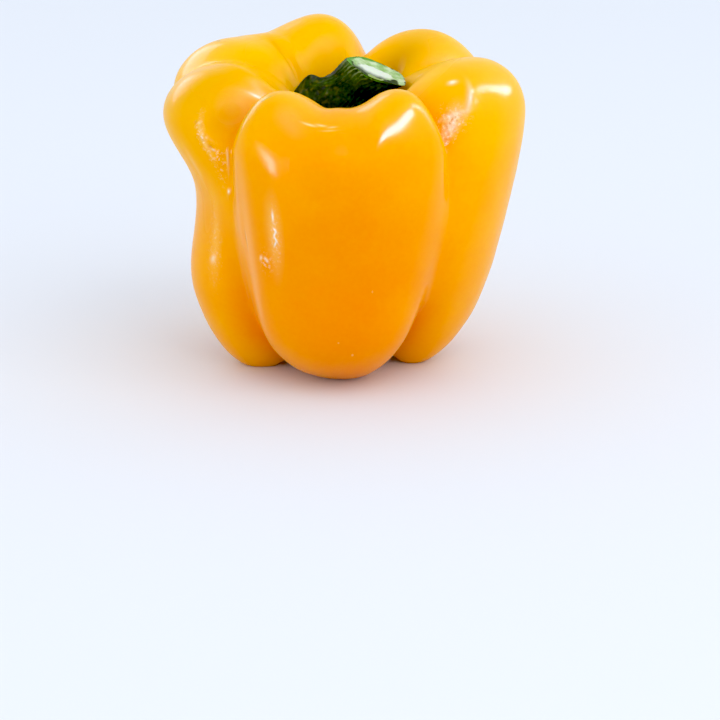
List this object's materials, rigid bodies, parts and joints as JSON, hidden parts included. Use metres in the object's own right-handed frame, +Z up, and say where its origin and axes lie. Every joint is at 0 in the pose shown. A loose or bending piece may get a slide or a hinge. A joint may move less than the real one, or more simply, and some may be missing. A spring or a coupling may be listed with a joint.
{
  "type": "bell pepper",
  "caption": "Blocky yellow bell pepper standing on its toes, with deep lobes, a stem hollow and a short green stem cut at a slant.",
  "frame": {"origin": "middle of the width and depth, on the plane the toes rest on", "axes": "+Z up along the fruit's core towards the stem, -Y towards the front, +X to the viewer's right"},
  "size_m": [0.0884, 0.084, 0.0816],
  "materials": {
    "fruit": "smooth waxy gloss, yellow at the shoulders and orange in the creases",
    "stem": "dull ribbed green, with a pale cut end"
  },
  "bodies": {
    "root": {"fruit": "fruit", "stem": "stem"}
  },
  "joints": []
}
